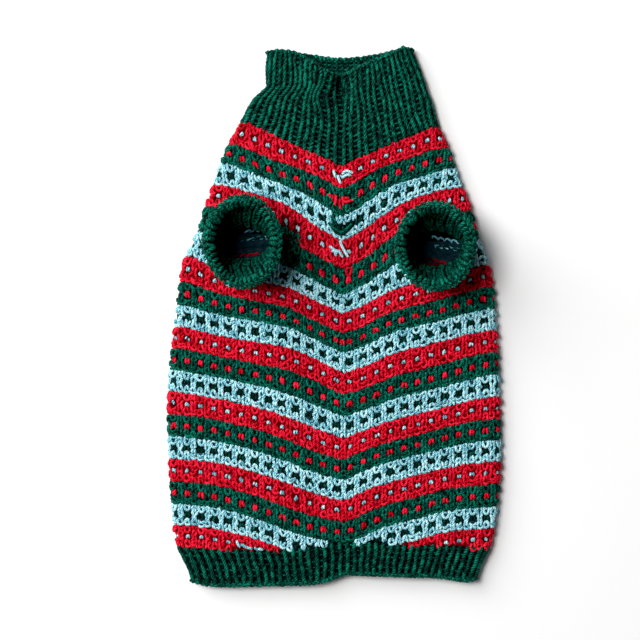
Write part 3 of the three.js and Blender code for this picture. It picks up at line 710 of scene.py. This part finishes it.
def shell(name, rows, cols, round_, place, depths, materials, colour_of, keep=None):
    """A thin closed sheet between two depths of a surface. place(i, j, depth) for grids of i and j."""
    wide = cols if round_ else cols + 1
    i, j = np.meshgrid(np.arange(rows + 1), np.arange(wide), indexing="ij")
    layers = [place(i, j, d).reshape(-1, 3) for d in depths]
    co = np.concatenate(layers)
    at = lambda k, a, b: k * (rows + 1) * wide + a * wide + (b % wide)
    ii, jj = np.meshgrid(np.arange(rows), np.arange(cols), indexing="ij")
    ii, jj = ii.ravel(), jj.ravel()
    hold = np.ones(len(ii), bool) if keep is None else keep(ii, jj)
    whole = hold.reshape(rows, cols)
    a, b = ii[hold], jj[hold]
    outer = np.stack([at(0, a, b), at(0, a, b + 1), at(0, a + 1, b + 1), at(0, a + 1, b)], -1)
    inner = np.stack([at(1, a, b), at(1, a + 1, b), at(1, a + 1, b + 1), at(1, a, b + 1)], -1)
    tint = colour_of(a, b)
    rims, rim_tint = [], []
    for da, db, edge in ((-1, 0, lambda p, q: ((p, q), (p, q + 1))), (1, 0, lambda p, q: ((p + 1, q + 1), (p + 1, q))),
                         (0, -1, lambda p, q: ((p + 1, q), (p, q))), (0, 1, lambda p, q: ((p, q + 1), (p + 1, q + 1)))):
        na, nb = a + da, b + db
        if round_:
            nb = nb % cols
        outside = (na < 0) | (na >= rows) | (nb < 0) | (nb >= cols)
        bare = outside | ~whole[np.clip(na, 0, rows - 1), np.clip(nb, 0, cols - 1)]
        p, q = a[bare], b[bare]
        (a0, b0), (a1, b1) = edge(p, q)
        rims.append(np.stack([at(0, a0, b0), at(1, a0, b0), at(1, a1, b1), at(0, a1, b1)], -1))
        rim_tint.append(tint[bare])
    faces = np.concatenate([outer, inner, *rims])
    tints = np.concatenate([tint, tint, *rim_tint])
    used = np.zeros(len(co), bool)
    used[faces.ravel()] = True
    renumber = np.cumsum(used) - 1
    me = bpy.data.meshes.new(name)
    me.from_pydata((co[used] / 1000).tolist(), [], renumber[faces].tolist())
    me.polygons.foreach_set("material_index", tints.astype(np.int32))
    me.polygons.foreach_set("use_smooth", np.ones(len(faces), bool))
    bm = bmesh.new()
    bm.from_mesh(me)
    bmesh.ops.recalc_face_normals(bm, faces=bm.faces)
    bm.to_mesh(me)
    bm.free()
    me.update()
    return me


COLOUR_ORDER = ("red", "green", "blue")


def band_index(w, y):
    """Which colour lies at y, at the share w across the belly. 0 is red, 1 green, 2 blue, and behind a blue band's dots 1."""
    tops = np.stack([row_y(np.full_like(w, 1 + k / 3, dtype=float), w) for k in range(3 * BANDS + 1)])
    third = np.clip((y[None] < tops + 1e-6).sum(0), 1, 3 * BANDS) - 1
    colour = (third // 3) % 3
    return np.where((colour == 2) & (third % 3 == 1), 1, colour)


def in_leg_hole(x, y, grow=0.0):
    inside = np.zeros(np.shape(x), bool)
    for c in CUFFS.values():
        inside |= ((x - c["x"]) / (c["across"][0] + grow)) ** 2 + ((y - c["y"]) / (c["along"][0] + grow)) ** 2 < 1
    return inside


# ------------------------------------------------------------------ body cloth and yarn
SHELL_OUT, SHELL_IN = 1.75, 2.65


def belly_shell(side):
    rows, cols = 96, 40

    def grid(i, j):
        w = side * j / cols
        y = mix(neck(w), hem_seam(w), i / rows)
        return w, y

    def place(i, j, depth):
        w, y = grid(i, j)
        return np.stack([centre(y) + w * reach(np.full_like(w, side, dtype=float), y), y, top_height(w, y) - depth], -1)

    def colour(a, b):
        w, y = grid(a + 0.5, b + 0.5)
        return band_index(w, y)

    def keep(a, b):
        w, y = grid(a + 0.5, b + 0.5)
        return ~in_leg_hole(centre(y) + w * reach(np.full_like(w, side, dtype=float), y), y, 0.6)

    name = "belly_left_cloth" if side < 0 else "belly_right_cloth"
    return shell(name, rows, cols, False, place, (SHELL_OUT, SHELL_IN), None, colour, keep)


def back_shell():
    rows, turn, flat = 96, 8, 40
    cols = 2 * turn + flat

    def spot(j):
        j = np.asarray(j, float)
        w = np.clip(-1 + 2 * (j - turn) / flat, -1, 1)
        left, right = j < turn, j > turn + flat
        angle = np.where(left, np.pi / 2 - np.pi * j / turn, np.where(right, -np.pi / 2 + np.pi * (j - turn - flat) / turn, 0))
        return w, left, right, angle

    def grid(i, j):
        w, left, right, angle = spot(j)
        return mix(level(neck)(w), level(hem_seam)(w), i / rows)

    def place(i, j, depth):
        w, left, right, angle = spot(j)
        y = grid(i, j)
        side = np.where(left, -1.0, 1.0)
        tx, tz = turn_point(side, angle, y, depth)
        bx = centre(y) + w * reach(np.sign(w), y)
        turned = left | right
        return np.stack([np.where(turned, tx, bx), y, np.where(turned, tz, depth)], -1)

    def colour(a, b):
        w, left, right, angle = spot(b + 0.5)
        y = grid(a + 0.5, b + 0.5)
        tops = np.stack([mix(row_y(float(k), -1.0), row_y(float(k), 1.0), (w + 1) / 2) for k in range(1, BANDS + 2)])
        band = np.clip((y[None] < tops).sum(0), 1, BANDS)
        return (band - 1) % 3

    return shell("back_cloth", rows, cols, False, place, (SHELL_OUT, SHELL_IN), None, colour)


body_yarns = {}


def yarn_for(piece, colour):
    return body_yarns.setdefault((piece, colour), Yarns())


# Stitches near the belly seam where the pattern breaks: (band, row, wale) to the yarn's colour.
SEAM_BREAKS = {
    (1, 1, 0): "blue", (1, 1, 2): "red", (2, 1, 0): "red", (2, 1, 1): "green", (3, 1, 0): "green", (3, 0, -1): "green",
    (3, 1, 2): "green", (4, 1, 0): "red", (5, 0, 1): "red", (8, 1, 0): "red", (13, 2, 0): "red",
}

# Ends and crossed strands that lie on the belly: the yarn, then x and y of each point.
STRANDS = [
    ("blue", [(-0.4, 112.8), (0.3, 110.4), (1.3, 107.6)]), ("blue", [(2.9, 108.9), (3.8, 106.0), (5.2, 103.0)]),
    ("blue", [(6.4, 110.0), (9.6, 112.4), (14.2, 111.0)]), ("blue", [(6.9, 107.4), (10.0, 109.3), (13.0, 109.0)]),
    ("blue", [(1.8, 76.6), (4.4, 72.2), (7.2, 76.0)]),
    ("blue", [(4.6, 58.6), (7.0, 52.6), (10.8, 46.2)]), ("blue", [(-3.4, 54.2), (0.4, 51.2), (1.6, 47.0)]),
    ("blue", [(0.6, 47.6), (3.4, 50.6), (6.6, 46.0)]), ("blue", [(-1.6, 50.4), (2.2, 50.9)]),
    ("red", [(-4.3, 94.2), (-1.8, 92.8), (-0.2, 90.8)]), ("red", [(1.7, 93.1), (1.4, 89.6), (0.7, 86.3)]),
    ("red", [(6.2, 92.3), (8.6, 88.4), (14.3, 89.7)]), ("red", [(4.2, 87.5), (5.4, 83.4)]), ("red", [(8.2, 91.6), (11.4, 91.0)]),
    ("green", [(-4.4, 72.4), (1.2, 67.2), (5.4, 65.0), (10.0, 67.6), (13.6, 71.4)]),
    ("green", [(-2.0, 69.0), (3.0, 64.0), (7.6, 64.2), (12.0, 68.4)]),
    ("blue", [(-75.4, -173.6), (-73.0, -178.4)]), ("blue", [(-70.0, -177.4), (-66.6, -179.0), (-63.6, -179.6)]),
    ("blue", [(-58.4, -179.8), (-55.2, -180.4)]),
]


def in_valley(x, y):
    """The fold beside the left cuff, where the dark green yarn takes the place of the red band: partly the green band
    running on up into the red one, partly painted shade of the cuff's deep shadow.
    """
    return (x < -25.9) & (x > -52) & (y > 49) & (y < 72.5 - (x + 42.7) * 0.426)


def body_spots():
    """Every body stitch: which piece, yarn and kind, and its spots."""
    spots = {}
    rows = np.arange(1, BANDS + 1)[:, None] + (np.arange(3)[None] + 0.5) / 3
    t, k = np.meshgrid(rows.ravel(), np.arange(-52, 53), indexing="ij")
    s = k * STITCH
    side = np.where(s < 0, -1.0, 1.0)
    y_side = row_y(t, side)
    span = row_length(t, side)
    a = np.abs(s)
    place = body_point(s, t, 1.0)
    x, y = place[..., 0], place[..., 1]
    w = (x - centre(y)) / reach(side, y)
    on_top = a <= span
    low = np.where(on_top, hem_seam(np.clip(w, -1, 1)), hem_seam(side))
    keep = (a <= span + reach(side, y_side) + TURN - STITCH * 0.4) & (y > low + 0.2)
    keep &= ~(on_top & (in_leg_hole(x, y, 1.0) | (y > neck(w))))
    piece = np.where(on_top, np.where(s < 0, "belly_left", "belly_right"), np.where(a > span + TURN * 0.94, "back_under", "back"))
    for one in (-1.0, 1.0):  # under the garment the stitches spread a little, so that the two sides meet at the middle
        mine = keep & (side == one)
        turned = span + TURN
        last = np.max(np.where(mine, a, 0.0), axis=1, keepdims=True)
        spread = (reach(side, y_side) - STITCH * 0.5) / np.maximum(last - turned, STITCH)
        s = np.where(mine & (a > turned), one * (turned + (a - turned) * spread), s)
    for i, j in zip(*np.nonzero(keep)):
        band, row = i // 3 + 1, i % 3
        wale = int(k[i, j])
        odd = wale % 2 != 0
        main = BAND_YARNS[(band - 1) % 3]
        colour = DOT_YARN[main] if row == 1 and odd else main
        colour = SEAM_BREAKS.get((band, row, wale), colour)
        # stitches in the fold beside the left cuff turn green, partly painted shade of the cuff's shadow
        if on_top[i, j] and in_valley(x[i, j], y[i, j]):
            colour = main = "green"
        if row == 1 and main == "green" and ((x[i, j] < -95 and 66 < y[i, j] < 82) or (-52 < x[i, j] < -27 and 38 < y[i, j] < 50)):
            colour = main
        if piece[i, j] == "back_under":
            parts = [("dot" if row == 1 and colour != main else "under", 0.0)]
        elif row == 0:
            parts = [("hanging", 0.02), ("knob", -0.1)] if odd else [("leg", -0.25), ("narrow", 0.25)]
        elif row == 1:
            parts = [("dot", 0.0)] if odd or colour != main else [("spread", -0.25), ("slim" if main == "blue" else "leg", 0.25)]
        else:
            parts = [("leg", -0.25), ("arc", 0.22)]
        for kind, down in parts:
            if kind in SWAPS and rng.random() < 0.3:
                kind = SWAPS[kind][rng.integers(len(SWAPS[kind]))]
            spots.setdefault((str(piece[i, j]), colour, kind), []).append((s[i, j], t[i, j] + down / 3))
    return spots


SWAPS = {"leg": ("spread", "arc"), "spread": ("leg",), "arc": ("leg",), "narrow": ("leg", "spread")}
YARN_R, LEG_R = 1.08, 1.2
DOT_SIZE = {"red": 1.02, "blue": 0.84, "green": 0.9}
# tone of each dot yarn, painted shade of the dots sunk in the cloth: below 0 darker, above 0 lighter
DOT_PAINTED_SHADE = {"red": 0.4, "blue": -0.4, "green": -2.5}


def knit_body():
    units = (1.0, 1 / 3)
    loose = dict(units=units, jitter=0.24, skew=0.13, swell=0.08, rough=0.16)
    for (piece, colour, kind), spots in body_spots().items():
        target = yarn_for(piece, colour)
        if kind == "under":
            lay(target, body_point, spots, UNDER, YARN_R * 1.02, 5, 7, units=units, jitter=0.14)
        elif piece == "back_under":
            for leg in (UNDER_DOT, other_leg(UNDER_DOT)):
                lay(target, body_point, spots, leg, YARN_R, 5, 5, units=units, jitter=0.14)
        elif kind in ("dot", "leg", "spread", "narrow", "slim"):
            shape = {"dot": DOTS[colour], "leg": LEG, "spread": SPREAD, "narrow": NARROW, "slim": SLIM}[kind]
            for leg in (shape, other_leg(shape)):
                lay(target, body_point, spots, leg, LEG_R * (DOT_SIZE[colour] if kind == "dot" else 1.0), 5, 5 if kind == "dot" else 4,
                    tip=0.72, tone=DOT_PAINTED_SHADE[colour] if kind == "dot" else 0.0, **loose)
        else:
            shape, steps = {"hanging": (HANGING, 8), "knob": (KNOB, 3), "arc": (ARC, 5)}[kind]
            lay(target, body_point, spots, shape, LEG_R * (0.85 if kind == "knob" else 1.0), 5, steps, tip=0.72, **loose)


knit_body()


def strands():
    for colour, points in STRANDS:
        flat = smooth_path([(x, y, 0.0) for x, y in points], 3 * len(points) + 1)
        x, y = flat[:, 0], flat[:, 1]
        lift = 0.35 + 0.25 * np.sin(np.linspace(0, math.pi, len(x)))
        here = np.stack([x, y, top_height_at(x, y) + lift - 0.55 * (np.abs(np.linspace(-1, 1, len(x))) > 0.98)], -1)[None]
        outside = np.zeros_like(here)
        outside[..., 2] = 1
        side = "belly_left" if x.mean() < float(centre(y.mean())) else "belly_right"
        yarn_for(side, colour).add(here, outside, LEG_R * 0.95, 6, tip=0.7, tone=-2.0 if colour == "green" else 0.5)


strands()

# ------------------------------------------------------------------ ribs
def rib(yarns, place, wales, rows, span_of, leg, full_pitch, radius, v_range=(0.0, 1.0), inside=None, steps=6, offset=0.0,
        keep=None, jitter=0.1, wander=0.0, thin=0.75, tone=0.0):
    """Chains of V stitches up a rib. span_of(u, v) is the length round at v, in mm. full_pitch is the width leg was drawn for."""
    spots, unit, size = [], [], []
    v0, v1 = v_range
    for k in range(wales):
        straight = (k + offset) / wales
        beat, start = rng.uniform(0.8, 1.7), rng.uniform(0, 2 * math.pi)
        for r in range(rows):
            v = v0 + (r + 0.5) / rows * (v1 - v0)
            u = straight + wander * math.sin(start + beat * 2 * math.pi * v) / span_of(straight, v)
            if keep is not None and not keep(u, v):
                continue
            spots.append((u, v))
            unit.append(1 / span_of(u, v))
            size.append(span_of(u, v) / wales / full_pitch)
    unit, size = np.array(unit), np.array(size)
    for way in (leg, other_leg(leg)):
        lay(yarns, place, spots, way, radius * (size**thin)[:, None], 6, steps, units=(unit, (v1 - v0) / rows), scale=size,
            jitter=jitter, flip_depth=inside, skew=0.03, rough=0.14, tone=tone)


def purls(yarns, place, wales, rows, span_of, half=1.5, depth=2.2, offset=0.5, inside=None):
    spots, unit = [], []
    for k in range(wales):
        u = (k + offset) / wales
        for r in range(rows):
            v = (r + 0.5) / rows
            spots.append((u, v))
            unit.append(1 / span_of(u, v))
    shape = [(-half, 0.16, depth + 0.5), (-half * 0.5, -0.1, depth), (half * 0.5, -0.1, depth), (half, 0.16, depth + 0.5)]
    lay(yarns, place, spots, shape, 0.9, 5, 4, units=(np.array(unit), 1 / rows), jitter=0.06, flip_depth=inside)


def tube_span(place):
    """Length once round a tube at v."""
    cache = {}

    def span(u, v):
        key = round(float(v), 3)
        if key not in cache:
            ring = place(np.linspace(0, 1, 241), np.full(241, float(v)), 1.0)
            ring = ring[:, [0, 2]] if abs(ring[:, 2].max() - ring[:, 2].min()) < 25 and ring[:, 2].max() < 25 else ring
            cache[key] = float(np.linalg.norm(np.diff(ring, axis=0), axis=1).sum())
        return cache[key]

    return span


def rim_rows(yarns, edge_at, length, count, laterals, radius, deep=0.0):
    """Cast-off bumps side by side over an edge. edge_at(u, lateral, out): lateral runs through the wall, out past the edge."""
    pitch = length / count
    for row, lateral in enumerate(laterals):
        lean = (0.05, -0.05)[row % 2]  # the bumps of neighbouring rows lean towards each other
        shape = [(a * pitch / 4.3, b + lean * a, d - 0.85 + (deep if abs(a) > 1 else 0)) for a, b, d in BEAD]
        spots = [((k + 0.5 * (row % 2)) * pitch, lateral) for k in range(count)]
        lay(yarns, lambda s, t, d: edge_at(s / length, t, 0.2 - d), spots, shape, radius, 6, 4, units=(1.0, 5.0),
            jitter=0.14, skew=0.08, swell=0.08, tip=0.75, rough=0.18)


collar_yarn, hem_yarn = Yarns(), Yarns()
COLLAR_WALES, COLLAR_ROWS = 29, 17
span = tube_span(collar_point)
rib(collar_yarn, collar_point, COLLAR_WALES, COLLAR_ROWS, span, RIB_LEG, 11.4, 1.6, offset=0.5, wander=0.7, jitter=0.14, thin=1.1)
purls(collar_yarn, collar_point, COLLAR_WALES, COLLAR_ROWS, span, offset=0.0, half=1.9, depth=2.65)
purls(collar_yarn, collar_point, COLLAR_WALES, COLLAR_ROWS, span, offset=0.5, half=1.5, depth=2.75)
# the inside of the back layer shows over the dipped front edge, its ribs darkened by tone as painted shade under the
# front edge
rib(collar_yarn, collar_point, COLLAR_WALES, COLLAR_ROWS, span, RIB_LEG, 11.4, 1.55, offset=0.0, inside=RIB_WALL + 0.5, keep=lambda u, v: v > 0.66, tone=-3.0)
rim_rows(collar_yarn, lambda u, lateral, out: collar_point(u, 1.0 + (out + 0.5 * np.cos(2 * np.pi * 52 * u)) / 62.0, RIB_WALL / 2 - lateral),
         300.0, 76, (1.9, 0.0, -1.9), 1.55)

HEM_WALES, HEM_ROWS = 42, 6
span = tube_span(hem_point)
rib(hem_yarn, hem_point, HEM_WALES, HEM_ROWS, span, HEM_LEG, 11.4, 1.58, v_range=(0.0, 0.94), offset=0.5, jitter=0.07, wander=0.45, tone=-0.9)
purls(hem_yarn, hem_point, HEM_WALES, HEM_ROWS, span, offset=0.0, half=1.6, depth=3.0)
purls(hem_yarn, hem_point, HEM_WALES, HEM_ROWS, span, offset=0.5, half=1.6, depth=3.0)
lay(hem_yarn, hem_point, [(k / 150, 0.965) for k in range(150)], BEAD, 1.25, 5, 4, units=(1 / 480, 0.1), jitter=0.2, skew=0.3,
    swell=0.12, tip=0.7, rough=0.25)
rim_rows(hem_yarn, lambda u, lateral, out: hem_point(u, 1.0 + out / 27.0, RIB_WALL / 2 - lateral), 480.0, 140, (1.5, -1.5), 1.35)

cuff_yarns = {}
CUFF_WALES, CUFF_ROWS = 19, 10
for name in CUFFS:
    place = cuff_point(name)
    y = cuff_yarns[name] = Yarns()
    span = tube_span(place)
    rib(y, place, CUFF_WALES, CUFF_ROWS, span, CUFF_LEG, 8.7, 1.15, offset=0.5, wander=0.4)
    purls(y, place, CUFF_WALES, CUFF_ROWS, span, offset=0.0, half=1.7)
    rib(y, place, 22, CUFF_ROWS, span, INNER_LEG, 8.0, 0.95, v_range=(0.0, 0.93), inside=RIB_WALL + 0.4, wander=0.5, thin=1.0)

    def rim(u, lateral, out, place=place):
        # the wall is 6.4 mm thick here, and depth is counted in shares of 3
        p = place(u, 1.0, (3.2 - lateral) * 3.0 / 6.4)
        p[..., 2] += out * 0.9 - 0.2 * lateral**2
        return p

    rim_rows(y, rim, 195.0, 40, (3.1, 1.1), 1.45, deep=0.9)
    ribs = [(k * 195.0 / 22, 0.0) for k in range(22)]  # the ribs of the inside run on over the lip up to the cast-off edge
    for leg in (LIP_LEG, other_leg(LIP_LEG)):
        lay(y, lambda s, t, d: rim(s / 195.0, t, 0.2 - d), ribs, leg, 1.5, 6, 7, jitter=0.2, tip=0.8)

# ------------------------------------------------------------------ loose strands inside the back
float_yarns = {c: Yarns() for c in COLOUR_ORDER}
strand_yarns = {c: Yarns() for c in COLOUR_ORDER}


def in_light(spots):
    """Which spots lie where light falls down the leg openings: to the right in each."""
    s, t = np.array(spots).T
    x = body_point(s, t, 1.0)[..., 0]
    return ((x > -71) & (x < 0)) | (x > 77)


def inside_back():
    for band in range(4, 9):
        main = BAND_YARNS[(band - 1) % 3]
        dot = DOT_YARN[main]
        for r in range(3):
            t = band + (r + 0.5) / 3
            for side in (-1.0, 1.0):
                flat = float(reach(side, float(row_y(t, side))))
                first = float(row_length(t, side)) + TURN + 2
                spots = [(side * (first + i * STITCH), t) for i in range(int(0.75 * flat / STITCH))]
                arc = [(-2.2, 0.25, 2.5), (-1.2, -0.05, 3.1), (1.2, -0.05, 3.1), (2.2, 0.25, 2.5)]
                seen = in_light(spots)
                row_lit = r == 0 or (main == "blue" and r == 1)
                # Strands where the light falls keep the yarn's material but take a darker tone, painted shade deep in
                # the leg opening; the others take the darker painted-shade cloth.
                for lit in (True, False):
                    here = [spot for spot, ok in zip(spots, seen) if (ok and row_lit) == lit]
                    if here:
                        lay((strand_yarns if lit else float_yarns)[main], body_point, here, arc, 0.8 if lit else 0.95, 5, 5,
                            units=(1.0, 1 / 3), jitter=0.2 if lit else 0.1, tone=-3.0 if lit else 0.0)
                here = [spot for spot, ok in zip(spots, seen) if ok][::2]
                if r == 1 and here:
                    strand = [(-STITCH, 0.1, 2.9), (-STITCH * 0.5, -0.05, 3.9), (STITCH * 0.5, 0.0, 3.9), (STITCH, 0.1, 2.9)]
                    # the dot yarn's strands in the light also take a darker tone as painted shade
                    lay(strand_yarns[dot], body_point, here, strand, 0.8, 5, 6, units=(1.0, 1 / 3), jitter=0.2, tone=-3.0)


inside_back()

# ------------------------------------------------------------------ put it all in the scene
FLOOR_AT = 0.0
for side, label in ((-1, "left"), (1, "right")):
    node = f"belly_{label}"
    cloth = put(belly_shell(side), f"{node}_cloth", [CLOTH[c] for c in COLOUR_ORDER], [node])
    pieces = [put(body_yarns[node, c].mesh(f"{node}_{c}"), f"{node}_{c}", [YARN[c]], [node]) for c in COLOUR_ORDER]
    flat, area = ((0.128, 0.345), 0.0366) if side < 0 else ((0.122, 0.341), 0.0326)

# The back layer's sheet and the floats inside it take the darker cloth copies, which are painted shade.
back = put(back_shell(), "back_cloth", [SHADED[c] for c in COLOUR_ORDER], ["back_panel"])
pieces = []
for part in ("back", "back_under"):
    for c in COLOUR_ORDER:
        pieces.append(put(body_yarns[part, c].mesh(f"{part}_{c}", floor=FLOOR_AT), f"{part}_{c}", [YARN[c]], ["back_panel"]))
for c in COLOUR_ORDER:
    if float_yarns[c].count:
        pieces.append(put(float_yarns[c].mesh(f"inside_{c}"), f"inside_{c}", [SHADED[c]], ["back_panel"]))
    if strand_yarns[c].count:
        pieces.append(put(strand_yarns[c].mesh(f"strand_{c}"), f"strand_{c}", [YARN[c]], ["back_panel"]))


def tube_shell(name, place, rows, cols, depths):
    return shell(name, rows, cols, True, lambda i, j, d: place(j / cols, i / rows, d), depths, None,
                 lambda a, b: np.zeros(len(a), int))


for name, place, yarns, rows, cols, flat, area in (
    ("collar", collar_point, collar_yarn, 24, 160, (0.31, 0.093), 0.0167),
    ("hem_rib", hem_point, hem_yarn, 8, 160, (0.49, 0.034), 0.012),
    ("cuff_left", cuff_point("cuff_left"), cuff_yarns["cuff_left"], 14, 76, (0.2, 0.05), 0.0077),
    ("cuff_right", cuff_point("cuff_right"), cuff_yarns["cuff_right"], 14, 76, (0.2, 0.05), 0.0077),
):
    depths = (1.1, 1.5) if name.startswith("cuff") else (2.4, 2.9)
    cloth = put(tube_shell(f"{name}_cloth", place, rows, cols, depths), f"{name}_cloth", [CLOTH["green"]], [name])
    piece = put(yarns.mesh(f"{name}_green", floor=FLOOR_AT), f"{name}_green", [YARN["green"]], [name])

triangles = {o.name: sum(len(p.vertices) - 2 for p in o.data.polygons) for o in bpy.context.scene.objects if o.type == "MESH"}
triangles["all"] = sum(n for name, n in triangles.items() if name != "floor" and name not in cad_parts)
